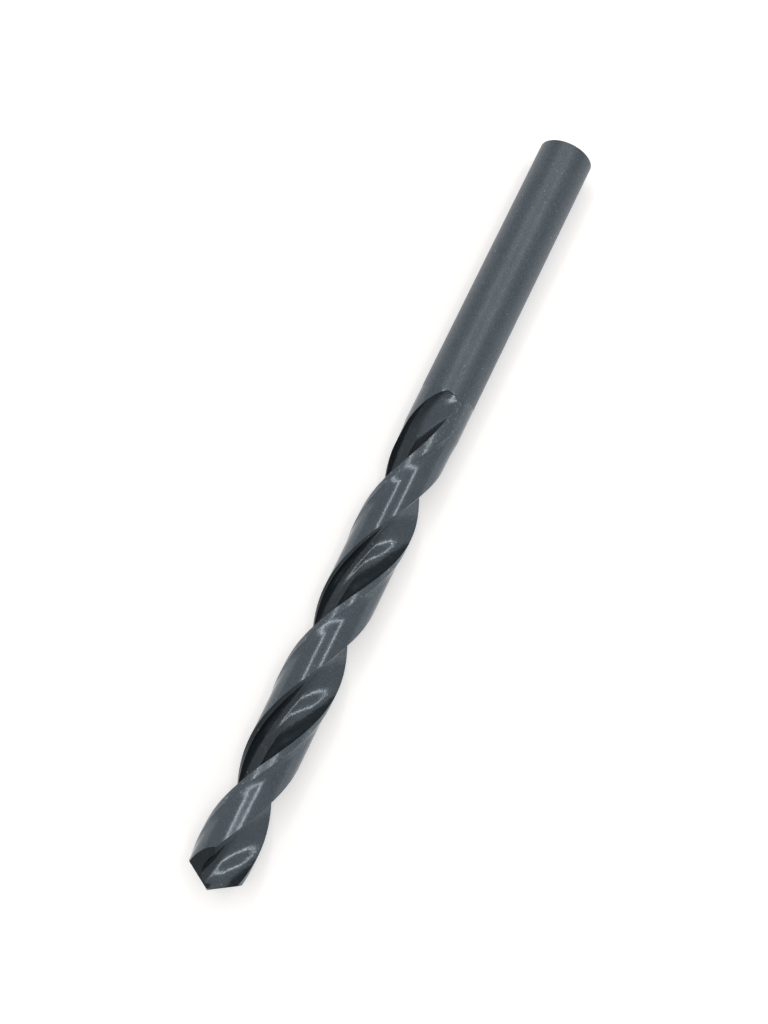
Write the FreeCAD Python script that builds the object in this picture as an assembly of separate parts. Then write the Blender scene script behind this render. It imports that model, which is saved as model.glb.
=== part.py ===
import FreeCAD, Part

import math
import os

from FreeCAD import Vector

os.makedirs("parts", exist_ok=True)

# A jobber twist drill with two right-hand flutes and a plain round shank.
# It is built standing on its point about the Z axis, then laid down with its axis along X.
# Lengths are in millimetres, angles in degrees.

# Blank
drill_diameter = 8.2          # over the margins, at the point
shank_diameter = 8.18
overall_length = 117.4
flute_length = 74.8           # point to the far end of the flute
flute_to_shank = 0.2          # from there to the plain shank
shank_chamfer = 0.15

# Flute, as a section square to the axis with the lip's outer corner on +X
flute_lead = 46.5
web_thickness = 1.15
web_taper = 0.014             # growth of the web for each millimetre of length
lip_bow = 0.08                # the lip face stands this far behind the radius at mid depth
lip_bow_radius = 2.46
web_tangent_angle = -63.0
heel_angle = -101.5
heel_facet_width = 0.47       # along the rim
heel_facet_depth = 0.73       # towards the axis

# Run-out of the flute, where the grinding wheel comes out of the work
flute_wheel_radius = 33.1
flute_lift_angle = -86.3      # from the lip's outer corner

# Body clearance between the margin and the heel
clearance_diameter = 7.76
margin_angle = 13.3
ramp_angle = 15.5             # from the margin's edge down a straight ramp to the cleared land
clearance_to_flute_end = 5.3  # the clearance ends this far before the flute
clearance_wheel_radius = 36.0
clearance_reach = 30.0        # how far the clearance cut runs past the heel

# Point
point_angle = 118.0
lip_relief_angle = 13.0
heel_relief_angle = 55.8      # slope of the facet behind the heel
heel_relief_heading = 108.4   # its uphill heading, from the lip
split_heading = 142.0         # heading of the notch's wall, from the lip
chisel_half_width = 0.17      # left on each side of the axis between the two notches

# Lying down
roll_at_rest = 42.0           # turn about the axis as it lies

drill_radius = drill_diameter / 2
shank_radius = shank_diameter / 2
clearance_radius = clearance_diameter / 2
web_radius = web_thickness / 2
clearance_length = flute_length - clearance_to_flute_end
shank_start = flute_length + flute_to_shank
station_pitch = flute_lead / 24
overrun = drill_diameter / 2  # cutters reach this far past the work


def polar(radius, angle, height=0.0):
    """Point at a radius and an angle about the axis."""
    turn = math.radians(angle)
    return Vector(radius * math.cos(turn), radius * math.sin(turn), height)


def wheel_lift(height, full_depth_end, wheel_radius):
    """How far a wheel's rim stands above full depth once the cut has passed its last full section."""
    past = min(max(height - full_depth_end, 0.0), wheel_radius)
    return wheel_radius - math.sqrt(wheel_radius ** 2 - past ** 2)


def web_lift(height):
    """Half the growth of the web up to a height."""
    return web_taper * height / 2


def run_out_length(depth, wheel_radius):
    """Length of the arc along which a wheel leaves a cut of this depth."""
    return math.sqrt(depth * (2 * wheel_radius - depth))


def tangent_arc(start, heading, end):
    """Arc that leaves start along a heading and ends at another point."""
    left = Vector(-heading.y, heading.x, 0)
    chord = end - start
    radius = chord.dot(chord) / (2 * chord.dot(left))
    centre = start + left * radius
    middle = (start + end) / 2 - centre
    return Part.Arc(start, centre + middle.normalize() * radius, end).toShape()


def flute_section():
    """Closed flute outline: lip face, valley, heel facet and a bow outside the work."""
    corner = Vector(drill_radius, 0, 0)
    lip_middle = Vector(lip_bow_radius, lip_bow, 0)
    root = polar(web_radius, web_tangent_angle)
    lip = Part.Arc(corner, lip_middle, root).toShape()
    lip_heading = lip.tangentAt(lip.LastParameter)
    outer = lip.Curve.value(lip.FirstParameter - (lip.LastParameter - lip.FirstParameter) / 2)
    heel = polar(clearance_radius, heel_angle)
    heel_inner = (heel + polar(heel_facet_width, heel_angle + 90)
                  - polar(heel_facet_depth, heel_angle))
    heel_outer = heel + (heel - heel_inner).normalize() * drill_radius / 2
    bow = polar(1.6 * drill_radius, heel_angle / 2)
    return [
        Part.Arc(outer, lip_middle, root).toShape(),
        tangent_arc(root, lip_heading, heel_inner),
        Part.makeLine(heel_inner, heel_outer),
        Part.Arc(heel_outer, bow, outer).toShape(),
    ]


def leaving_lift(valley):
    """Lift at which the valley's circle has just come out of the shank."""
    centre = valley.Curve.Center
    along = centre.dot(polar(1, flute_lift_angle))
    clear = shank_radius + valley.Curve.Radius
    return math.sqrt(along ** 2 + clear ** 2 - centre.dot(centre)) - along


def placed(edges, offset, turn, height):
    """Section wire moved sideways in its own plane, then turned about the axis and raised."""
    wire = Part.Wire(edges)
    wire.translate(offset)
    wire.rotate(Vector(0, 0, 0), Vector(0, 0, 1), turn)
    wire.translate(Vector(0, 0, height))
    return wire


def stations(start, end, full_depth_end):
    """Heights of the sections: even along the helix, closer together through the run-out."""
    count = math.ceil((full_depth_end - start) / station_pitch)
    heights = [start + (full_depth_end - start) * i / count for i in range(count)]
    fine = math.ceil((end - full_depth_end) / (station_pitch / 2))
    return heights + [full_depth_end + (end - full_depth_end) * i / fine for i in range(fine + 1)]


def flute_cutter():
    """Body swept by the flute section along its helix, lifting out at the end."""
    edges = flute_section()
    depth = leaving_lift(edges[1]) - web_lift(flute_length)
    full_depth_end = flute_length - run_out_length(depth, flute_wheel_radius)
    wires = []
    for height in stations(-overrun, flute_length + overrun, full_depth_end):
        lift = web_lift(height) + wheel_lift(height, full_depth_end, flute_wheel_radius)
        turn = 360 * height / flute_lead
        wires.append(placed(edges, polar(lift, flute_lift_angle), turn, height))
    return Part.makeLoft(wires, True)


def clearance_section():
    """Closed outline of the band behind the margin: down the ramp, under the lowered land, outside the work."""
    edge = polar(drill_radius, margin_angle)
    foot = polar(clearance_radius, margin_angle + ramp_angle)
    ramp = foot - edge
    outer_end, inner_end = edge - ramp * 2, foot + ramp / 4
    start, end = margin_angle + ramp_angle, 180 + heel_angle + clearance_reach
    middle = (start + end) / 2
    inner, outer = 0.8 * clearance_radius, outer_end.Length
    return [
        Part.makeLine(outer_end, inner_end),
        Part.makeLine(inner_end, polar(inner, start + ramp_angle)),
        Part.Arc(polar(inner, start + ramp_angle), polar(inner, middle), polar(inner, end)).toShape(),
        Part.makeLine(polar(inner, end), polar(outer, end)),
        Part.Arc(polar(outer, end), polar(outer, middle), outer_end).toShape(),
    ]


def clearance_core():
    """Round core that the clearance leaves standing, flared along the wheel's run-out."""
    run_out = run_out_length(drill_radius - clearance_radius, clearance_wheel_radius)
    bottom, full_depth_end, top = -2 * overrun, clearance_length - run_out, clearance_length + run_out
    heights = (full_depth_end, clearance_length, top)
    rims = [Vector(clearance_radius + wheel_lift(height, full_depth_end, clearance_wheel_radius), 0, height)
            for height in heights]
    outline = Part.Wire([
        Part.makeLine(Vector(0, 0, bottom), Vector(clearance_radius, 0, bottom)),
        Part.makeLine(Vector(clearance_radius, 0, bottom), rims[0]),
        Part.Arc(*rims).toShape(),
        Part.makeLine(rims[2], Vector(0, 0, top)),
        Part.makeLine(Vector(0, 0, top), Vector(0, 0, bottom)),
    ])
    return Part.Face(outline).revolve(Vector(), Vector(0, 0, 1), 360)


def clearance_cutter():
    """Body that lowers a land behind its margin down to the core, following the leading edge."""
    edges = clearance_section()
    wires = []
    for height in stations(-overrun, clearance_length + station_pitch / 2, clearance_length):
        # the leading edge falls back a little as the web thickens
        fall_back = math.degrees(math.asin(web_lift(height) / drill_radius))
        turn = 360 * height / flute_lead - fall_back
        wires.append(placed(edges, Vector(), turn, height))
    return Part.makeLoft(wires, True).cut(clearance_core())


def half_space(slope_x, slope_y):
    """Large block below the plane through the tip that rises by these slopes along X and Y."""
    reach = 4 * drill_diameter
    block = Part.makeBox(2 * reach, 2 * reach, reach, Vector(-reach, -reach, -reach))
    normal = Vector(-slope_x, -slope_y, 1)
    block.Placement = FreeCAD.Placement(Vector(), FreeCAD.Rotation(Vector(0, 0, 1), normal))
    return block


def lip_facet_cutter():
    """Removes what lies in front of one lip's facet."""
    return half_space(1 / math.tan(math.radians(point_angle / 2)),
                      math.tan(math.radians(lip_relief_angle)))


def heel_facet_cutter():
    """Removes the heel behind one lip down to a steep facet, up to a notch wall beside the chisel edge."""
    slope = math.tan(math.radians(heel_relief_angle))
    uphill = polar(slope, heel_relief_heading)
    reach = 4 * drill_diameter
    side = Part.makeBox(2 * reach, reach, 2 * reach, Vector(-reach, chisel_half_width, -reach))
    side.rotate(Vector(), Vector(0, 0, 1), split_heading - 180)
    return half_space(uphill.x, uphill.y).common(side)


def drill_blank():
    """Turned blank: plain front, slight back taper, round shank with a chamfered end."""
    plain_end = overall_length - shank_chamfer
    front = Part.makeCylinder(drill_radius, overrun, Vector(0, 0, -overrun))
    taper = Part.makeCone(drill_radius, shank_radius, shank_start)
    shank = Part.makeCylinder(shank_radius, plain_end - shank_start, Vector(0, 0, shank_start))
    chamfer = Part.makeCone(shank_radius, shank_radius - shank_chamfer, shank_chamfer,
                            Vector(0, 0, plain_end))
    return front.fuse([taper, shank, chamfer])


def paired(cutter):
    """The cutter and its copy half a turn round the axis."""
    other = cutter.copy()
    other.rotate(Vector(), Vector(0, 0, 1), 180)
    return [cutter, other]


def twist_drill():
    """The whole drill on its point, lips set where the flutes' leading edges meet the rim."""
    lip_offset = math.degrees(math.asin(web_radius / drill_radius))
    corner_height = drill_radius / math.tan(math.radians(point_angle / 2))
    lip_turn = 360 * corner_height / flute_lead + lip_offset
    shape = drill_blank()
    for cutter in (flute_cutter(), clearance_cutter()):
        for tool in paired(cutter):
            shape = shape.cut(tool)
    for cutter in (lip_facet_cutter(), heel_facet_cutter()):
        cutter.rotate(Vector(), Vector(0, 0, 1), lip_turn)
        for tool in paired(cutter):
            shape = shape.cut(tool)
    return shape


def laid_down(shape):
    """Turns the drill's axis from Z to X, rolls it to its rest and sets it on the plane Z = 0."""
    shape.rotate(Vector(), Vector(0, 1, 0), 90)
    shape.rotate(Vector(), Vector(1, 0, 0), roll_at_rest)
    shape.translate(Vector(-overall_length / 2, 0, drill_radius))
    return shape


drill = laid_down(twist_drill())
solid = drill.Solids[0]
solid.exportStep("parts/twist_drill.step")
box = solid.BoundBox
print("solids", len(drill.Solids), "faces", len(solid.Faces), "valid", solid.isValid(),
      "volume %.1f" % solid.Volume)
print("box x %.3f %.3f y %.3f %.3f z %.3f %.3f"
      % (box.XMin, box.XMax, box.YMin, box.YMax, box.ZMin, box.ZMax))
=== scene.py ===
"""A jobber twist drill lying on a white table under a long loop-shaped lamp.

The drill is one piece. Its body follows a rule: at every height a section of two lands and two
flutes is worked out, turned along the helix and raised, and the point is cut from it by planes.
Lengths of the drill are in millimetres up to the last step, which lays it down in metres.
"""

import logging
import math
from dataclasses import dataclass, field
from enum import Enum

import bpy
from mathutils import Euler, Matrix, Vector


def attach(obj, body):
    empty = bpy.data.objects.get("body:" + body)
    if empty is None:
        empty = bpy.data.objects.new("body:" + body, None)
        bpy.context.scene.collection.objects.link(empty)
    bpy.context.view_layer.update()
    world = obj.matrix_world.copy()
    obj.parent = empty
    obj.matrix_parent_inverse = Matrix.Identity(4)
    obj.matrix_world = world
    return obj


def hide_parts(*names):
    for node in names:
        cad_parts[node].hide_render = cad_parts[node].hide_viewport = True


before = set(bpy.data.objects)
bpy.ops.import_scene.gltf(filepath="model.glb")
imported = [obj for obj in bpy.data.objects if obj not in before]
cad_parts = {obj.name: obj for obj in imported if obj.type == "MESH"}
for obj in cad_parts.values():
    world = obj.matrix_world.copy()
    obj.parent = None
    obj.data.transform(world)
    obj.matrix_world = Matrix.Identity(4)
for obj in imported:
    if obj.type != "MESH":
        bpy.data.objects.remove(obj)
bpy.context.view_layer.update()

log = logging.getLogger("drill")

MM = 0.001
MICROMETRE = MM / 1000
HALF_STEP = 0.5                 # halfway between two columns, rows, zones or parts

Colour = tuple[float, float, float]
Socket = bpy.types.NodeSocket


class Zone(Enum):
    """The surfaces of the drill that are finished differently."""

    POINT = 0
    MARGIN = 1
    RAMP = 2
    LAND = 3
    HEEL = 4
    FLUTE = 5
    LIP = 6
    SHANK = 7
    END = 8


@dataclass(frozen=True)
class DrillSizes:
    """Driving sizes of the drill, in millimetres and degrees."""

    drill_diameter: float = 8.2
    shank_diameter: float = 8.18
    overall_length: float = 117.4
    flute_length: float = 74.8
    flute_to_shank: float = 0.2
    shank_chamfer: float = 0.15

    flute_lead: float = 46.5
    web_thickness: float = 1.15
    web_taper: float = 0.014
    lip_bow: float = 0.08
    lip_bow_radius: float = 2.46
    web_tangent_angle: float = -63.0
    heel_angle: float = -101.5
    heel_facet_width: float = 0.47
    heel_facet_depth: float = 0.73

    flute_wheel_radius: float = 33.1
    flute_lift_angle: float = -86.3

    clearance_diameter: float = 7.76
    margin_angle: float = 13.3
    ramp_angle: float = 15.5
    clearance_to_flute_end: float = 5.3
    clearance_wheel_radius: float = 36.0

    point_angle: float = 118.0
    lip_relief_angle: float = 13.0
    heel_relief_angle: float = 55.8
    heel_relief_heading: float = 108.4
    split_heading: float = 142.0
    chisel_half_width: float = 0.17

    roll_at_rest: float = 42.0

    @property
    def drill_radius(self) -> float:
        """Radius over the margins at the point."""
        return self.drill_diameter / 2

    @property
    def shank_radius(self) -> float:
        """Radius of the plain shank."""
        return self.shank_diameter / 2

    @property
    def clearance_radius(self) -> float:
        """Radius of the lowered lands."""
        return self.clearance_diameter / 2

    @property
    def taper_length(self) -> float:
        """Length over which the back taper comes down to the shank."""
        return self.flute_length + self.flute_to_shank

    @property
    def clearance_length(self) -> float:
        """Length from the point to the far end of the body clearance."""
        return self.flute_length - self.clearance_to_flute_end

    def web_lift(self, height: float) -> float:
        """Half the growth of the web up to a height."""
        return self.web_taper * height / 2


def polar(radius: float, angle: float) -> Vector:
    """Point in the section's plane at a radius and an angle in degrees."""
    return Vector((radius * math.cos(math.radians(angle)), radius * math.sin(math.radians(angle))))


def left_of(heading: Vector) -> Vector:
    """Heading turned a quarter turn counter-clockwise."""
    return Vector((-heading.y, heading.x))


def run_out_length(depth: float, wheel_radius: float) -> float:
    """Length of the arc along which a wheel leaves a cut of this depth."""
    return math.sqrt(depth * (2 * wheel_radius - depth))


@dataclass(frozen=True)
class Circle:
    """A circle in the section's plane."""

    centre: Vector
    radius: float

    @classmethod
    def through(cls, first: Vector, second: Vector, third: Vector) -> "Circle":
        """Circle through three points."""
        chord, other = second - first, third - first
        doubled = 2 * (chord.x * other.y - chord.y * other.x)
        offset = Vector((other.y * chord.dot(chord) - chord.y * other.dot(other),
                         chord.x * other.dot(other) - other.x * chord.dot(chord))) / doubled
        return cls(first + offset, offset.length)

    @classmethod
    def leaving(cls, start: Vector, heading: Vector, end: Vector) -> "Circle":
        """Circle that passes through start along a heading and through end."""
        chord = end - start
        radius = chord.dot(chord) / (2 * chord.dot(left_of(heading)))
        return cls(start + left_of(heading) * radius, abs(radius))


@dataclass(frozen=True)
class FluteSection:
    """Outline of one flute, square to the axis, with the lip's outer corner on +X."""

    lip: Circle
    valley: Circle
    root: Vector
    heel_inner: Vector
    heel: Vector

    @classmethod
    def of(cls, sizes: DrillSizes) -> "FluteSection":
        """Works the outline out from the drill's sizes.

        Args:
            sizes: Driving sizes of the drill.

        Returns:
            The circles of the lip face and the valley, and the corners between them.
        """
        corner = Vector((sizes.drill_radius, 0.0))
        root = polar(sizes.web_thickness / 2, sizes.web_tangent_angle)
        lip = Circle.through(corner, Vector((sizes.lip_bow_radius, sizes.lip_bow)), root)
        outward = root - lip.centre
        heading = left_of(outward).normalized()
        if heading.dot(root - corner) < 0:
            heading = -heading
        heel = polar(sizes.clearance_radius, sizes.heel_angle)
        heel_inner = (heel + polar(sizes.heel_facet_width, sizes.heel_angle + 90)
                      - polar(sizes.heel_facet_depth, sizes.heel_angle))
        valley = Circle.leaving(root, heading, heel_inner)
        return cls(lip, valley, root, heel_inner, heel)

    def leaving_lift(self, heading: Vector, rim: float) -> float:
        """Lift along a heading at which the valley has just come out of a rim of this radius."""
        along = self.valley.centre.dot(heading)
        clear = rim + self.valley.radius
        return math.sqrt(along ** 2 + clear ** 2 - self.valley.centre.length_squared) - along


class Value:
    """A number that varies over the mesh, as an output socket of a node tree."""

    def __init__(self, tree: bpy.types.NodeTree, socket: Socket) -> None:
        """Wraps a socket of a tree."""
        self.tree = tree
        self.socket = socket

    def _math(self, operation: str, *others: "Value | float") -> "Value":
        """Adds a Math node that takes this value first.

        Args:
            operation: Name of the operation.
            *others: The other operands.

        Returns:
            The node's result.
        """
        node = self.tree.nodes.new("ShaderNodeMath")
        node.operation = operation
        for place, operand in zip(node.inputs, (self, *others)):
            if isinstance(operand, Value):
                self.tree.links.new(operand.socket, place)
            else:
                place.default_value = operand
        return Value(self.tree, node.outputs[0])

    def __add__(self, other: "Value | float") -> "Value":
        """Sum."""
        return self._math("ADD", other)

    def __sub__(self, other: "Value | float") -> "Value":
        """Difference."""
        return self._math("SUBTRACT", other)

    def __mul__(self, other: "Value | float") -> "Value":
        """Product."""
        return self._math("MULTIPLY", other)

    def __truediv__(self, other: "Value | float") -> "Value":
        """Quotient."""
        return self._math("DIVIDE", other)

    def __neg__(self) -> "Value":
        """Opposite."""
        return self._math("MULTIPLY", -1.0)

    def root(self) -> "Value":
        """Square root, zero below zero."""
        return self.at_least(0.0)._math("SQRT")

    def sine(self) -> "Value":
        """Sine of an angle in radians."""
        return self._math("SINE")

    def cosine(self) -> "Value":
        """Cosine of an angle in radians."""
        return self._math("COSINE")

    def arcsine(self) -> "Value":
        """Angle in radians that has this sine."""
        return self._math("ARCSINE")

    def at_least(self, other: "Value | float") -> "Value":
        """The larger of two."""
        return self._math("MAXIMUM", other)

    def at_most(self, other: "Value | float") -> "Value":
        """The smaller of two."""
        return self._math("MINIMUM", other)

    def share(self) -> "Value":
        """The value kept between 0 and 1."""
        return self.at_least(0.0).at_most(1.0)

    def angle_over(self, other: "Value") -> "Value":
        """Angle in radians whose tangent is this value over the other."""
        return self._math("ARCTAN2", other)

    def below(self, other: "Value | float") -> "Value":
        """1 where the value is below the other, else 0."""
        return self._math("LESS_THAN", other)

    def above(self, other: "Value | float") -> "Value":
        """1 where the value is above the other, else 0."""
        return self._math("GREATER_THAN", other)

    def towards(self, other: "Value", share: "Value") -> "Value":
        """The value moved towards another by a share."""
        return self + (other - self) * share


@dataclass
class Spot:
    """A point in the section's plane that varies over the mesh."""

    x: Value
    y: Value

    def __add__(self, other: "Spot") -> "Spot":
        """Sum."""
        return Spot(self.x + other.x, self.y + other.y)

    def __sub__(self, other: "Spot") -> "Spot":
        """Difference."""
        return Spot(self.x - other.x, self.y - other.y)

    def __mul__(self, factor: Value | float) -> "Spot":
        """Scaled by a factor."""
        return Spot(self.x * factor, self.y * factor)

    def dot(self, other: "Spot") -> Value:
        """Scalar product."""
        return self.x * other.x + self.y * other.y

    def length(self) -> Value:
        """Distance from the axis."""
        return self.dot(self).root()

    def left(self) -> "Spot":
        """Turned a quarter turn counter-clockwise."""
        return Spot(-self.y, self.x)

    def angle(self) -> Value:
        """Angle from +X in radians."""
        return self.y.angle_over(self.x)

    def turned(self, angle: Value) -> "Spot":
        """Turned about the axis by an angle in radians."""
        return self * angle.cosine() + self.left() * angle.sine()

    def towards(self, other: "Spot", share: Value) -> "Spot":
        """Moved towards another point by a share."""
        return self + (other - self) * share


class FlutedBodyTree:
    """Node tree that makes the drill's body, row by row along the axis, and cuts its point."""

    ROW_PITCH = 0.25            # between rows along the flutes
    SHANK_ROWS = 6              # along the plain shank
    START = -2.0                # the body starts this far before the point, which is then cut
    END_ROWS = 3                # the first row, the chamfer's edge and the middle of the end face
    COLUMNS = {Zone.MARGIN: 8, Zone.RAMP: 8, Zone.LAND: 18, Zone.HEEL: 4, Zone.FLUTE: 30, Zone.LIP: 22}
    PAINTED_SHADE_SPAN = (0.46, 0.68)    # share of the flute, from the heel, over which the painted shade of its heel side fades out
    MERGE = 0.0008              # points nearer than this are joined
    SHARP_ANGLE = 16.0          # an edge that turns more than this stays sharp
    REACH = 33.0                # half the size of the blocks that cut the point

    def __init__(self, sizes: DrillSizes) -> None:
        """Starts an empty tree with one mesh output and an input for each size."""
        self.sizes = sizes
        self.section = FluteSection.of(sizes)
        self.tree = bpy.data.node_groups.new("fluted_body", "GeometryNodeTree")
        self.inputs: dict[str, float] = {
            "Drill radius": sizes.drill_radius,
            "Shank radius": sizes.shank_radius,
            "Overall length": sizes.overall_length,
            "Flute length": sizes.flute_length,
            "Taper length": sizes.taper_length,
            "Shank chamfer": sizes.shank_chamfer,
            "Flute lead": sizes.flute_lead,
            "Web taper": sizes.web_taper,
            "Flute wheel radius": sizes.flute_wheel_radius,
            "Flute run-out": self.flute_run_out(),
            "Clearance radius": sizes.clearance_radius,
            "Clearance length": sizes.clearance_length,
            "Clearance wheel radius": sizes.clearance_wheel_radius,
            "Clearance run-out": run_out_length(sizes.drill_radius - sizes.clearance_radius,
                                                sizes.clearance_wheel_radius),
            "Merge distance": self.MERGE,
        }
        self.identifiers: dict[str, str] = {}
        for name, value in self.inputs.items():
            made = self.tree.interface.new_socket(name, in_out="INPUT", socket_type="NodeSocketFloat")
            made.default_value = value
            self.identifiers[name] = made.identifier
        self.tree.interface.new_socket("Mesh", in_out="OUTPUT", socket_type="NodeSocketGeometry")
        self.start = self.tree.nodes.new("NodeGroupInput")

    def flute_run_out(self) -> float:
        """Length of the flute's run-out, from the lift at its far end."""
        sizes = self.sizes
        heading = polar(1.0, sizes.flute_lift_angle)
        depth = (self.section.leaving_lift(heading, sizes.shank_radius)
                 - sizes.web_lift(sizes.flute_length))
        return run_out_length(depth, sizes.flute_wheel_radius)

    def size(self, name: str) -> Value:
        """One of the tree's inputs."""
        return Value(self.tree, self.start.outputs[name])

    def node(self, kind: str, **settings: object) -> bpy.types.Node:
        """Adds a node.

        Args:
            kind: Type of the node.
            **settings: Its properties.

        Returns:
            The new node.
        """
        node = self.tree.nodes.new(kind)
        for name, value in settings.items():
            setattr(node, name, value)
        return node

    def link(self, source: Socket, target: Socket) -> None:
        """Joins two sockets."""
        self.tree.links.new(source, target)

    def number(self, amount: float) -> Value:
        """A number that is the same over the whole mesh."""
        node = self.node("ShaderNodeValue")
        node.outputs[0].default_value = amount
        return Value(self.tree, node.outputs[0])

    def fixed(self, point: Vector) -> Spot:
        """A point that is the same over the whole mesh."""
        return Spot(self.number(point[0]), self.number(point[1]))

    def wheel_lift(self, height: Value, cut: str) -> Value:
        """How far a wheel's rim stands above full depth once the cut has passed its last full section.

        Args:
            height: Height of the row.
            cut: The cut as its inputs name it, "Flute" or "Clearance".

        Returns:
            The lift, zero up to the run-out.
        """
        length, run_out, radius = (self.size(f"{cut} {name}")
                                   for name in ("length", "run-out", "wheel radius"))
        past = (height - length + run_out).at_least(0.0).at_most(radius)
        return radius - (radius * radius - past * past).root()

    def rim_meets_circle(self, centre: Spot, radius: float, rim: Value, side: float) -> Spot:
        """Point where a circle crosses the rim.

        Args:
            centre: Centre of the circle.
            radius: Its radius.
            rim: Radius of the rim, which is round the axis.
            side: 1 for the crossing to the left of the centre's heading, -1 for the right.

        Returns:
            The crossing, or the nearest point of the rim where they don't meet.
        """
        distance = centre.length()
        along = ((rim * rim + distance * distance - radius * radius) / (distance * 2.0)).at_most(rim)
        across = (rim * rim - along * along).root() * side
        return centre * (along / distance) + centre.left() * (across / distance)

    def rim_meets_line(self, start: Spot, heading: Vector, rim: Value, side: float) -> Spot:
        """Point where a line crosses the rim.

        Args:
            start: Point of the line.
            heading: Heading of the line.
            rim: Radius of the rim, which is round the axis.
            side: 1 for the crossing on the way out, -1 for the one on the way in.

        Returns:
            The crossing.
        """
        along = start.dot(self.fixed(heading))
        reach = (along * along + rim * rim - start.dot(start)).root() * side - along
        return start + self.fixed(heading) * reach

    def arc(self, centre: Spot, radius: float, zero: Vector, first: Spot, last: Spot, share: Value) -> Spot:
        """Point on an arc.

        Args:
            centre: Centre of the arc.
            radius: Its radius.
            zero: Heading from the centre through the middle of the arc, from which angles are taken.
            first: Where the arc starts.
            last: Where it ends.
            share: How far along the point is, from 0 to 1.

        Returns:
            The point.
        """
        ahead = self.fixed(zero.normalized())
        start, end = (Spot(arm.dot(ahead), arm.dot(ahead.left())).angle()
                      for arm in (first - centre, last - centre))
        return centre + ahead.turned(start.towards(end, share)) * radius

    def half_ring(self, column: Value, height: Value, rim: Value) -> Spot:
        """Point of the section from one lip's outer corner round to the other's.

        Args:
            column: Column of the grid.
            height: Height of the row, not past the end of the flutes.
            rim: Radius of the blank there.

        Returns:
            The point before the helix turns it.
        """
        sizes, section = self.sizes, self.section
        web_lift = height * self.size("Web taper") / 2.0
        lift = web_lift + self.wheel_lift(height, "Flute")
        land_rim = (self.size("Clearance radius") + self.wheel_lift(height, "Clearance")).at_most(rim)
        raised = self.fixed(polar(1.0, sizes.flute_lift_angle)) * lift
        root = self.fixed(section.root) + raised
        inner = self.fixed(section.heel_inner) + raised
        lip_centre = self.fixed(section.lip.centre) + raised
        valley_centre = self.fixed(section.valley.centre) + raised

        root_inside = root.length().below(rim)
        lip_side = 1.0 if left_of(section.lip.centre).dot(polar(1.0, 0.0)) > 0 else -1.0
        by_valley = self.rim_meets_circle(valley_centre, section.valley.radius, rim, 1.0)
        by_lip = self.rim_meets_circle(lip_centre, section.lip.radius, rim, lip_side)
        corner = by_valley.towards(by_lip, root_inside)
        root_end = by_valley.towards(root, root_inside)

        inner_inside = inner.length().below(land_rim)
        by_facet = self.rim_meets_line(inner, (section.heel - section.heel_inner).normalized(), land_rim, 1.0)
        by_valley = self.rim_meets_circle(valley_centre, section.valley.radius, land_rim, -1.0)
        heel = by_valley.towards(by_facet, inner_inside)
        inner_end = by_valley.towards(inner, inner_inside)

        shares = {zone: self.strip_share(column, zone) for zone in self.COLUMNS}
        fall_back = (web_lift / self.size("Drill radius")).arcsine()
        edge = polar(sizes.drill_radius, sizes.margin_angle)
        downhill = (polar(sizes.clearance_radius, sizes.margin_angle + sizes.ramp_angle) - edge).normalized()
        ramp_top, ramp_foot = (self.rim_meets_line(self.fixed(edge), downhill, ring, -1.0).turned(-fall_back)
                               for ring in (rim, land_rim))
        ahead = self.fixed(Vector((1.0, 0.0)))
        opposite_heel = heel * -1.0
        margin = ahead.turned(corner.angle().towards(ramp_top.angle(), shares[Zone.MARGIN])) * rim
        ramp = ramp_top.towards(ramp_foot, shares[Zone.RAMP])
        land = ahead.turned(ramp_foot.angle().towards(opposite_heel.angle(), shares[Zone.LAND])) * land_rim
        facet = heel.towards(inner_end, shares[Zone.HEEL]) * -1.0
        valley = self.arc(valley_centre, section.valley.radius, section.root - section.valley.centre,
                          inner_end, root_end, shares[Zone.FLUTE]) * -1.0
        lip_arc = self.arc(lip_centre, section.lip.radius, section.root - section.lip.centre,
                           root_end, corner, shares[Zone.LIP])
        lip = corner.towards(lip_arc, root_inside) * -1.0
        spot = margin
        for zone, strip in ((Zone.RAMP, ramp), (Zone.LAND, land), (Zone.HEEL, facet),
                            (Zone.FLUTE, valley), (Zone.LIP, lip)):
            spot = spot.towards(strip, column.above(self.first_column(zone) + HALF_STEP))
        return spot

    def first_column(self, zone: Zone) -> int:
        """Column of the grid at which a zone's strip starts."""
        zones = list(self.COLUMNS)
        return sum(self.COLUMNS[before] for before in zones[:zones.index(zone)])

    def strip_share(self, column: Value, zone: Zone) -> Value:
        """How far across a zone's strip a column lies, from 0 to 1."""
        return ((column - self.first_column(zone)) / self.COLUMNS[zone]).share()

    def placed(self, mesh: Socket, turn: Euler, shift: Vector) -> Socket:
        """Turns a mesh about the origin, then shifts it.

        Args:
            mesh: The mesh.
            turn: How it is turned.
            shift: How it is shifted after that.

        Returns:
            The mesh in its place.
        """
        node = self.node("GeometryNodeTransform")
        node.inputs["Rotation"].default_value = turn
        node.inputs["Translation"].default_value = shift
        self.link(mesh, node.inputs["Geometry"])
        return node.outputs[0]

    def joined(self, *meshes: Socket) -> Socket:
        """Meshes made one, with the points that meet merged."""
        join = self.node("GeometryNodeJoinGeometry")
        for mesh in meshes:
            self.link(mesh, join.inputs[0])
        merge = self.node("GeometryNodeMergeByDistance")
        self.link(join.outputs[0], merge.inputs["Geometry"])
        self.link(self.size("Merge distance").socket, merge.inputs["Distance"])
        return merge.outputs[0]

    def block(self, size: tuple[float, float, float]) -> Socket:
        """Block round the origin."""
        node = self.node("GeometryNodeMeshCube")
        node.inputs["Size"].default_value = size
        return node.outputs["Mesh"]

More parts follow.
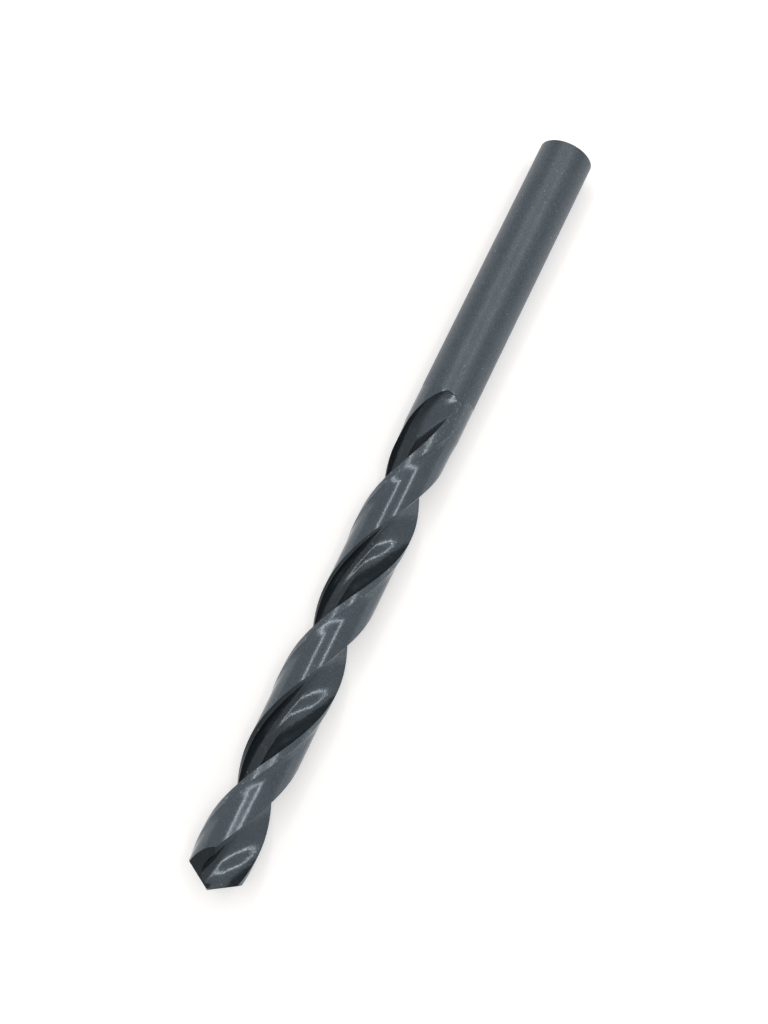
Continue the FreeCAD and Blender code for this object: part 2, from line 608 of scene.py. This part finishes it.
    def block_below(self, slope_x: float, slope_y: float) -> Socket:
        """Large block below the plane through the tip that rises by these slopes along X and Y."""
        block = self.block((2 * self.REACH, 2 * self.REACH, self.REACH))
        normal = Vector((-slope_x, -slope_y, 1.0)).normalized()
        return self.placed(block, normal.to_track_quat("Z", "Y").to_euler(), normal * (-self.REACH / 2))

    def point_cutters(self) -> list[Socket]:
        """What is cut from the front: both lips' facets and both heels' steep facets.

        Returns:
            The cutters, each for one side of the point.
        """
        sizes = self.sizes
        lip_block = self.block_below(1 / math.tan(math.radians(sizes.point_angle / 2)),
                                     math.tan(math.radians(sizes.lip_relief_angle)))
        uphill = polar(math.tan(math.radians(sizes.heel_relief_angle)), sizes.heel_relief_heading)
        turn = math.radians(sizes.split_heading - 180)
        outward = Vector((-math.sin(turn), math.cos(turn), 0.0))
        side = self.placed(self.block((2 * self.REACH, self.REACH, 2 * self.REACH)), Euler((0.0, 0.0, turn)),
                           outward * (sizes.chisel_half_width + self.REACH / 2))
        heel_block = self.node("GeometryNodeMeshBoolean", operation="INTERSECT", solver="EXACT")
        self.link(self.block_below(uphill.x, uphill.y), heel_block.inputs["Mesh 2"])
        self.link(side, heel_block.inputs["Mesh 2"])

        corner_height = sizes.drill_radius / math.tan(math.radians(sizes.point_angle / 2))
        lip_turn = (math.tau * corner_height / sizes.flute_lead
                    + math.asin(sizes.web_thickness / 2 / sizes.drill_radius))
        return [self.placed(cutter, Euler((0.0, 0.0, lip_turn + half_turn)), Vector())
                for cutter in (lip_block, heel_block.outputs["Mesh"]) for half_turn in (0.0, math.pi)]

    def build(self, finish: bpy.types.Material) -> bpy.types.NodeTree:
        """Fills the tree.

        Args:
            finish: Material that the whole body gets.

        Returns:
            The tree, ready for a modifier.
        """
        half = self.half_body()
        body = self.joined(half, self.placed(half, Euler((0.0, 0.0, math.pi)), Vector()))
        cut = self.node("GeometryNodeMeshBoolean", operation="DIFFERENCE", solver="EXACT")
        self.link(self.joined(body, self.front_cap(body)), cut.inputs["Mesh 1"])
        for cutter in self.point_cutters():
            self.link(cutter, cut.inputs["Mesh 2"])
        self.finish(cut.outputs["Mesh"], finish)
        return self.tree

    def half_body(self) -> Socket:
        """Half of the body, from one lip's outer corner round to the other's.

        Returns:
            A grid whose columns run round the axis and whose rows run along it.
        """
        sizes = self.sizes
        flute_rows = round((sizes.flute_length - self.START) / self.ROW_PITCH)
        rows = flute_rows + self.SHANK_ROWS + self.END_ROWS
        columns = sum(self.COLUMNS.values()) + 1
        grid = self.node("GeometryNodeMeshGrid")
        grid.inputs["Size X"].default_value = columns - 1
        grid.inputs["Size Y"].default_value = rows - 1
        grid.inputs["Vertices X"].default_value = columns
        grid.inputs["Vertices Y"].default_value = rows
        place = self.node("GeometryNodeInputPosition")
        split = self.node("ShaderNodeSeparateXYZ")
        self.link(place.outputs[0], split.inputs[0])
        column = Value(self.tree, split.outputs[0]) + (columns - 1) / 2
        row = Value(self.tree, split.outputs[1]) + (rows - 1) / 2
        spot, height = self.body_point(column, row, flute_rows)
        spot = spot * (row.above(rows - 1 - HALF_STEP) * -1.0 + 1.0)
        combined = self.node("ShaderNodeCombineXYZ")
        for socket, value in zip(combined.inputs, (spot.x, spot.y, height)):
            self.link(value.socket, socket)
        moved = self.node("GeometryNodeSetPosition")
        self.link(self.with_zones(grid.outputs["Mesh"], column, row, flute_rows), moved.inputs["Geometry"])
        self.link(combined.outputs[0], moved.inputs["Position"])
        return moved.outputs[0]

    def body_point(self, column: Value, row: Value, flute_rows: int) -> tuple[Spot, Value]:
        """Where a point of the grid lies on the body.

        Args:
            column: Column of the grid.
            row: Row of the grid.
            flute_rows: Rows up to the end of the flutes.

        Returns:
            The point in its section's plane, and its height.
        """
        flute_length, chamfer = self.size("Flute length"), self.size("Shank chamfer")
        pitch = (flute_length - self.START) / flute_rows
        flute_height = (row * pitch + self.START).at_most(flute_length)
        plain_length = self.size("Overall length") - chamfer - flute_length
        shank_share = ((row - flute_rows) / self.SHANK_ROWS).share()
        chamfer_share = (row - (flute_rows + self.SHANK_ROWS)).share()
        height = flute_height + plain_length * shank_share + chamfer * chamfer_share
        taper = (height / self.size("Taper length")).share()
        rim = self.size("Drill radius").towards(self.size("Shank radius"), taper)
        spot = self.half_ring(column, flute_height, rim)
        spot = spot.towards(spot * (rim / spot.length()), row.above(flute_rows + HALF_STEP))
        spot = spot.turned(flute_height * math.tau / self.size("Flute lead"))
        end_radius = self.size("Shank radius") - chamfer
        return spot.towards(spot * (end_radius / self.size("Shank radius")), chamfer_share), height

    def with_zones(self, mesh: Socket, column: Value, row: Value, flute_rows: int) -> Socket:
        """Stores which surface of the drill each face belongs to, and how strongly painted shade darkens the
        heel side of the flute.

        Args:
            mesh: The grid, still flat.
            column: Column of the grid.
            row: Row of the grid.
            flute_rows: Rows up to the end of the flutes.

        Returns:
            The mesh with both attributes.
        """
        zone = self.number(Zone.POINT.value)
        for name in self.COLUMNS:
            zone = zone.towards(self.number(name.value), column.above(self.first_column(name)))
        for name, first_row in ((Zone.SHANK, flute_rows), (Zone.END, flute_rows + self.SHANK_ROWS)):
            zone = zone.towards(self.number(name.value), row.above(first_row))
        # painted shade: darkest on the heel side of the flute and fading out across it, where the flute's own
        # walls keep it dark
        width = self.COLUMNS[Zone.FLUTE] + self.COLUMNS[Zone.LIP]
        across = (column - self.first_column(Zone.FLUTE)) / width
        clear = ((across - self.PAINTED_SHADE_SPAN[0]) / (self.PAINTED_SHADE_SPAN[1] - self.PAINTED_SHADE_SPAN[0])).share()
        painted_shade = clear * clear * (clear * 2.0 - 3.0) + 1.0
        for name, domain, value in (("zone", "FACE", zone), ("painted_shade", "CORNER", painted_shade)):
            stored = self.node("GeometryNodeStoreNamedAttribute", data_type="FLOAT", domain=domain)
            stored.inputs["Name"].default_value = name
            self.link(mesh, stored.inputs["Geometry"])
            self.link(value.socket, stored.inputs["Value"])
            mesh = stored.outputs[0]
        return mesh

    def front_cap(self, mesh: Socket) -> Socket:
        """Flat face that closes the front of the body.

        Args:
            mesh: The body, open in front.

        Returns:
            The face alone.
        """
        neighbours = self.node("GeometryNodeInputMeshEdgeNeighbors")
        border = self.node("FunctionNodeCompare", data_type="INT", operation="EQUAL")
        integers = [socket for socket in border.inputs if socket.type == "INT"]
        self.link(neighbours.outputs[0], integers[0])
        integers[1].default_value = 1
        outline = self.node("GeometryNodeMeshToCurve")
        self.link(mesh, outline.inputs["Mesh"])
        self.link(border.outputs[0], outline.inputs["Selection"])
        filled = self.node("GeometryNodeFillCurve", mode="NGONS")
        self.link(outline.outputs[0], filled.inputs[0])
        lowered = self.placed(filled.outputs[0], Euler(), Vector((0.0, 0.0, self.START)))
        flipped = self.node("GeometryNodeFlipFaces")
        self.link(lowered, flipped.inputs["Mesh"])
        return flipped.outputs[0]

    def finish(self, mesh: Socket, finish: bpy.types.Material) -> None:
        """Smooths the body between its sharp edges, gives it its material and ends the tree.

        Args:
            mesh: The cut body.
            finish: Its material.
        """
        smooth = self.node("GeometryNodeSetShadeSmooth", domain="FACE")
        smooth.inputs["Shade Smooth"].default_value = True
        self.link(mesh, smooth.inputs["Geometry"])
        angle = self.node("GeometryNodeInputMeshEdgeAngle")
        turn = Value(self.tree, angle.outputs["Unsigned Angle"])
        edges = self.node("GeometryNodeSetShadeSmooth", domain="EDGE")
        edges.inputs["Shade Smooth"].default_value = False
        self.link(smooth.outputs[0], edges.inputs["Geometry"])
        self.link(turn.above(math.radians(self.SHARP_ANGLE)).socket, edges.inputs["Selection"])
        realized = self.node("GeometryNodeRealizeInstances")
        self.link(edges.outputs[0], realized.inputs[0])
        dressed = self.node("GeometryNodeSetMaterial")
        dressed.inputs["Material"].default_value = finish
        self.link(realized.outputs[0], dressed.inputs["Geometry"])
        end = self.node("NodeGroupOutput")
        self.link(dressed.outputs[0], end.inputs[0])


@dataclass(frozen=True)
class ZoneFinish:
    """How one surface of the drill is finished."""

    roughness: float
    shine: float            # share of the skin's colour that is mirrored
    ripple: float           # depth of slow waves, in micrometres
    grain: float            # depth of fine pits, in micrometres
    wear: float             # how far the worn spots reach the worn colour


class Surface:
    """A material under construction: its shader and the patterns that feed it."""

    def __init__(self, name: str) -> None:
        """Starts a material with a plain shader."""
        self.material = bpy.data.materials.new(name)
        self.material.use_nodes = True
        self.tree = self.material.node_tree
        self.tree.nodes.clear()
        self.place = self.node("ShaderNodeTexCoord").outputs["Object"]
        self.shader = self.node("ShaderNodeBsdfPrincipled")
        self.link(self.shader.outputs[0], self.node("ShaderNodeOutputMaterial").inputs[0])

    def node(self, kind: str) -> bpy.types.Node:
        """Adds a node."""
        return self.tree.nodes.new(kind)

    def link(self, source: Socket, target: Socket) -> None:
        """Joins two sockets."""
        self.tree.links.new(source, target)

    def stored(self, name: str) -> Value:
        """An attribute of the mesh."""
        node = self.node("ShaderNodeAttribute")
        node.attribute_name = name
        return Value(self.tree, node.outputs["Fac"])

    def clouds(self, size: float, detail: float) -> Value:
        """Noise of one size.

        Args:
            size: Size of the clouds in millimetres.
            detail: How many finer layers there are.

        Returns:
            The noise, from 0 to 1.
        """
        noise = self.node("ShaderNodeTexNoise")
        noise.inputs["Scale"].default_value = 1 / (size * MM)
        noise.inputs["Detail"].default_value = detail
        self.link(self.place, noise.inputs["Vector"])
        return Value(self.tree, noise.outputs["Fac"])

    def specks(self, pitch: float, size: float) -> Value:
        """1 in specks of a size, scattered at a pitch in millimetres, else 0."""
        cells = self.node("ShaderNodeTexVoronoi")
        cells.inputs["Scale"].default_value = 1 / (pitch * MM)
        self.link(self.place, cells.inputs["Vector"])
        return Value(self.tree, cells.outputs["Distance"]).below(size / pitch)

    def bump(self, height: Value, under: Socket | None = None) -> Socket:
        """Normal of a bumpy surface.

        Args:
            height: Height of the bumps in micrometres.
            under: Normal that the bumps are laid over.

        Returns:
            The normal.
        """
        node = self.node("ShaderNodeBump")
        node.inputs["Strength"].default_value = 1.0
        node.inputs["Distance"].default_value = MICROMETRE
        self.link(height.socket, node.inputs["Height"])
        if under is not None:
            self.link(under, node.inputs["Normal"])
        return node.outputs[0]

    def mixed(self, share: Value, colour: Colour, under: Socket | None = None) -> Socket:
        """Mixes a colour in.

        Args:
            share: How much of the colour there is.
            colour: The colour.
            under: The colour underneath, or None for black.

        Returns:
            The mixed colour.
        """
        node = self.node("ShaderNodeMix")
        node.data_type = "RGBA"
        node.clamp_factor = False
        first, second = (socket for socket in node.inputs if socket.type == "RGBA")
        first.default_value = (0.0, 0.0, 0.0, 1.0)
        second.default_value = (*colour, 1.0)
        self.link(share.socket, node.inputs["Factor"])
        if under is not None:
            self.link(under, first)
        return next(socket for socket in node.outputs if socket.type == "RGBA")


@dataclass(frozen=True)
class BlackOxide:
    """Blackened high-speed steel: a thin blue-black skin over ground metal. Sizes are in millimetres."""

    colour: Colour = (0.090, 0.111, 0.129)
    metal_share: float = 0.77       # the rest is matt
    worn_colour: Colour = (0.34, 0.36, 0.37)
    painted_shade_share: float = 0.60        # of the shine that is left where the painted shade is darkest
    ripple_size: float = 1.1
    ripple_detail: float = 2.0
    grain_size: float = 0.17
    grain_detail: float = 3.0
    patina_size: float = 3.2
    patina_detail: float = 2.0
    patina_depth: float = 0.22
    mottle_detail: float = 1.0
    mottle_depth: float = 1.10      # of the finest clouds, which are as large as the grain
    wear_size: float = 0.35
    wear_detail: float = 6.0
    wear_limits: tuple[float, float] = (0.60, 0.74)
    speck_pitch: float = 1.5
    speck_size: float = 0.07
    zones: tuple[tuple[Zone, ZoneFinish], ...] = (
        (Zone.POINT, ZoneFinish(0.30, 0.72, 1.0, 1.2, 0.05)),
        (Zone.MARGIN, ZoneFinish(0.24, 1.10, 5.0, 4.0, 0.80)),
        (Zone.RAMP, ZoneFinish(0.20, 1.03, 16.0, 4.0, 0.35)),
        (Zone.LAND, ZoneFinish(0.19, 1.00, 10.0, 1.4, 0.14)),
        # the heel facets' low shine is painted shade
        (Zone.HEEL, ZoneFinish(0.30, 0.48, 3.0, 1.0, 0.10)),
        (Zone.FLUTE, ZoneFinish(0.17, 0.90, 15.0, 3.0, 0.20)),
        (Zone.LIP, ZoneFinish(0.16, 0.95, 26.0, 4.0, 0.25)),
        (Zone.SHANK, ZoneFinish(0.41, 1.02, 2.0, 7.0, 0.24)),
        # the end face's and chamfer's low shine is painted shade
        (Zone.END, ZoneFinish(0.40, 0.30, 2.0, 2.0, 0.10)),
    )

    def material(self) -> bpy.types.Material:
        """Makes the material.

        Returns:
            A material of procedural nodes, which reads the zone stored on each face.
        """
        made = Surface("black_oxide")
        shader = made.shader
        shader.inputs["Metallic"].default_value = self.metal_share
        made.link(self.skin(made), shader.inputs["Base Color"])
        made.link(self.by_zone(made, "roughness").socket, shader.inputs["Roughness"])
        ripple = made.clouds(self.ripple_size, self.ripple_detail) * self.by_zone(made, "ripple")
        grain = made.clouds(self.grain_size, self.grain_detail) * self.by_zone(made, "grain")
        made.link(made.bump(grain, made.bump(ripple)), shader.inputs["Normal"])
        return made.material

    def by_zone(self, made: Surface, setting: str) -> Value:
        """Value of one setting, chosen by the zone of the face.

        Args:
            made: The material under construction.
            setting: Field of ZoneFinish.

        Returns:
            The value.
        """
        table = made.node("ShaderNodeValToRGB")
        ramp = table.color_ramp
        ramp.interpolation = "CONSTANT"
        highest = max(getattr(finish, setting) for _, finish in self.zones)
        for index, (zone, finish) in enumerate(self.zones):
            position = zone.value / len(Zone)
            element = ramp.elements[index] if index < 2 else ramp.elements.new(position)
            element.position = position
            level = getattr(finish, setting) / highest
            element.color = (level, level, level, 1.0)
        share = (made.stored("zone") + HALF_STEP) / len(Zone)
        made.link(share.socket, table.inputs[0])
        return Value(made.tree, table.outputs["Color"]) * highest

    def skin(self, made: Surface) -> Socket:
        """Colour of the skin.

        Args:
            made: The material under construction.

        Returns:
            The colour: cloudy, with painted shade on the heel side of the flute and on the heel facets and
                end, lighter where it is rubbed or dusty.
        """
        patina = made.clouds(self.patina_size, self.patina_detail) - 0.5
        mottle = made.clouds(self.grain_size, self.mottle_detail) - 0.5
        cloud = patina * self.patina_depth + mottle * self.mottle_depth + 1.0
        zone = made.stored("zone")
        in_flute = zone.above(Zone.FLUTE.value - HALF_STEP) * zone.below(Zone.LIP.value + HALF_STEP)
        # painted shade: the heel side of the flute is darkened
        shade = made.stored("painted_shade") * in_flute * (self.painted_shade_share - 1.0) + 1.0
        base = made.mixed(self.by_zone(made, "shine") * cloud * shade, self.colour)
        low, high = self.wear_limits
        worn = ((made.clouds(self.wear_size, self.wear_detail) - low) / (high - low)).share()
        rubbed = made.mixed(worn * self.by_zone(made, "wear"), self.worn_colour, base)
        return made.mixed(made.specks(self.speck_pitch, self.speck_size), self.worn_colour, rubbed)


@dataclass
class TwistDrill:
    """The drill, one solid piece lying on its side."""

    sizes: DrillSizes = field(default_factory=DrillSizes)
    finish: BlackOxide = field(default_factory=BlackOxide)

    def lying_down(self) -> Matrix:
        """Move from standing on the point in millimetres to lying on the table in metres."""
        sizes = self.sizes
        offset = Vector((-sizes.overall_length / 2, 0.0, sizes.drill_radius)) * MM
        return (Matrix.Translation(offset)
                @ Matrix.Rotation(math.radians(sizes.roll_at_rest), 4, "X")
                @ Matrix.Rotation(math.radians(90), 4, "Y")
                @ Matrix.Scale(MM, 4))

    def build(self) -> bpy.types.Object:
        """Makes the drill's mesh, lays it down and puts it in place of the plain model.

        Returns:
            The drill's object.
        """
        body = FlutedBodyTree(self.sizes)
        tree = body.build(self.finish.material())
        maker = bpy.data.objects.new("drill_maker", bpy.data.meshes.new("drill_maker"))
        bpy.context.scene.collection.objects.link(maker)
        modifier = maker.modifiers.new("body", "NODES")
        modifier.node_group = tree
        for name, value in body.inputs.items():
            modifier[body.identifiers[name]] = value
        evaluated = maker.evaluated_get(bpy.context.evaluated_depsgraph_get())
        mesh = bpy.data.meshes.new_from_object(evaluated)
        bpy.data.objects.remove(maker)
        mesh.name = "drill"
        mesh.transform(self.lying_down())
        drill = bpy.data.objects.new("drill", mesh)
        bpy.context.scene.collection.objects.link(drill)
        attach(drill, "root")
        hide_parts("twist_drill")
        log.info("drill: %d vertices, %d faces", len(mesh.vertices), len(mesh.polygons))
        return drill


@dataclass
class Table:
    """White table top under the drill."""

    half_width: float = 1.5
    colour: Colour = (0.92, 0.92, 0.92)
    roughness: float = 0.9
    lift: float = 0.30              # glow that only the camera and reflections see

    def build(self) -> bpy.types.Object:
        """Makes the table top, white to the camera and in reflections, with the drill's shadow on it."""
        mesh = bpy.data.meshes.new("table")
        reach = self.half_width
        outline = [(-reach, -reach, 0), (reach, -reach, 0), (reach, reach, 0), (-reach, reach, 0)]
        mesh.from_pydata(outline, [], [(0, 1, 2, 3)])
        table = bpy.data.objects.new("table", mesh)
        bpy.context.scene.collection.objects.link(table)
        mesh.materials.append(self.material())
        return table

    def material(self) -> bpy.types.Material:
        """Matt white that stays white to the camera and in reflections."""
        made = Surface("white_top")
        inputs = made.shader.inputs
        inputs["Base Color"].default_value = (*self.colour, 1.0)
        inputs["Roughness"].default_value = self.roughness
        inputs["Emission Color"].default_value = (1.0, 1.0, 1.0, 1.0)
        rays = made.node("ShaderNodeLightPath").outputs
        seen = Value(made.tree, rays["Is Camera Ray"]).at_least(Value(made.tree, rays["Is Glossy Ray"]))
        made.link((seen * self.lift).socket, inputs["Emission Strength"])
        return made.material


@dataclass
class Studio:
    """Camera, a loop-shaped lamp overhead, and the light of the room, in metres."""

    lens: float = 46.0448
    sensor_width: float = 36.0
    position: tuple[float, float, float] = (-0.0427917, -0.0180661, 0.1822550)
    right: tuple[float, float, float] = (0.430404, -0.902636, 0.0)
    up: tuple[float, float, float] = (0.875895, 0.417653, 0.241608)
    back: tuple[float, float, float] = (-0.218084, -0.103989, 0.970374)
    lamp_height: float = 0.50
    loop_near: float = 0.070        # middle of the loop's near half circle
    loop_far: float = 0.250
    loop_middle: float = 0.020
    loop_radius: float = 0.190
    tube_width: float = 0.035
    tube_parts: int = 28
    lamp_strength: float = 7.0
    lamp_colour: Colour = (1.0, 0.94, 0.88)
    room_light: float = 0.68
    near_side: tuple[float, float] = (-0.85, -0.45)     # share of the heading towards -X
    shaded_share: float = 0.24      # of the room's light that is left low at the near side
    horizon_light: float = 0.95
    horizon_height: float = 0.22    # of the heading's rise, up to which the light evens out

    def camera(self) -> bpy.types.Object:
        """Camera at the photograph's viewing angle."""
        data = bpy.data.cameras.new("camera")
        data.lens = self.lens
        data.sensor_width = self.sensor_width
        camera = bpy.data.objects.new("camera", data)
        axes = Matrix((self.right, self.up, self.back)).transposed()
        camera.matrix_world = Matrix.Translation(self.position) @ axes.to_4x4()
        bpy.context.scene.collection.objects.link(camera)
        bpy.context.scene.camera = camera
        return camera

    def loop_place(self, share: float) -> tuple[float, float, float]:
        """Place on the lamp's loop, which has two straight sides and two round ends.

        Args:
            share: How far round the loop, from 0 to 1.

        Returns:
            Its x, its y and the heading of the loop there in radians.
        """
        straight = self.loop_far - self.loop_near
        bend = math.pi * self.loop_radius
        along = share * 2 * (straight + bend)
        half, side = along, 1.0
        if along > straight + bend:
            half, side = along - straight - bend, -1.0
        if half < straight:
            x, y, heading = half, self.loop_radius, 0.0
        else:
            heading = (straight - half) / self.loop_radius
            x = straight - self.loop_radius * math.sin(heading)
            y = self.loop_radius * math.cos(heading)
        middle = (self.loop_near + self.loop_far) / 2
        return middle + side * (x - straight / 2), self.loop_middle + side * y, heading

    def lamp(self) -> None:
        """Loop of flat lamps overhead, all equally bright."""
        length = 2 * (self.loop_far - self.loop_near + math.pi * self.loop_radius) / self.tube_parts
        for index in range(self.tube_parts):
            x, y, heading = self.loop_place((index + HALF_STEP) / self.tube_parts)
            data = bpy.data.lights.new(f"tube_{index}", "AREA")
            data.shape = "RECTANGLE"
            data.color = self.lamp_colour
            data.size = length
            data.size_y = self.tube_width
            data.energy = self.lamp_strength * math.pi * length * self.tube_width
            lamp = bpy.data.objects.new(f"tube_{index}", data)
            lamp.location = (x, y, self.lamp_height)
            lamp.rotation_euler = (0.0, 0.0, heading)
            bpy.context.scene.collection.objects.link(lamp)

    def room(self) -> None:
        """Even light from all round, brighter along the horizon and dark low at the near side."""
        world = bpy.data.worlds.new("room")
        bpy.context.scene.world = world
        world.use_nodes = True
        tree = world.node_tree
        shade = tree.nodes["Background"]
        shade.inputs["Color"].default_value = (1.0, 1.0, 1.0, 1.0)
        heading = tree.nodes.new("ShaderNodeSeparateXYZ")
        tree.links.new(tree.nodes.new("ShaderNodeTexCoord").outputs["Generated"], heading.inputs[0])
        near = self.faded(tree, heading.outputs["X"], self.near_side, (self.shaded_share, 1.0))
        rise = self.faded(tree, heading.outputs["Z"], (0.0, self.horizon_height),
                          (self.horizon_light, self.room_light))
        tree.links.new((near * rise).socket, shade.inputs["Strength"])

    def faded(self, tree: bpy.types.NodeTree, source: Socket, limits: tuple[float, float],
              levels: tuple[float, float]) -> Value:
        """Level that changes smoothly with a part of the heading.

        Args:
            tree: Node tree of the world.
            source: The part of the heading.
            limits: Where the change starts and ends.
            levels: The level before and after.

        Returns:
            The level.
        """
        node = tree.nodes.new("ShaderNodeMapRange")
        node.interpolation_type = "SMOOTHSTEP"
        node.inputs["From Min"].default_value, node.inputs["From Max"].default_value = limits
        node.inputs["To Min"].default_value, node.inputs["To Max"].default_value = levels
        tree.links.new(source, node.inputs["Value"])
        return Value(tree, node.outputs[0])

    def build(self) -> None:
        """Sets up the camera and the light."""
        self.camera()
        self.lamp()
        self.room()
        bpy.context.scene.view_settings.view_transform = "Standard"


def main() -> None:
    """Builds every piece in order."""
    logging.basicConfig(level=logging.INFO, format="%(name)s: %(message)s")
    TwistDrill().build()
    Table().build()
    Studio().build()


if __name__ == "__main__":
    main()
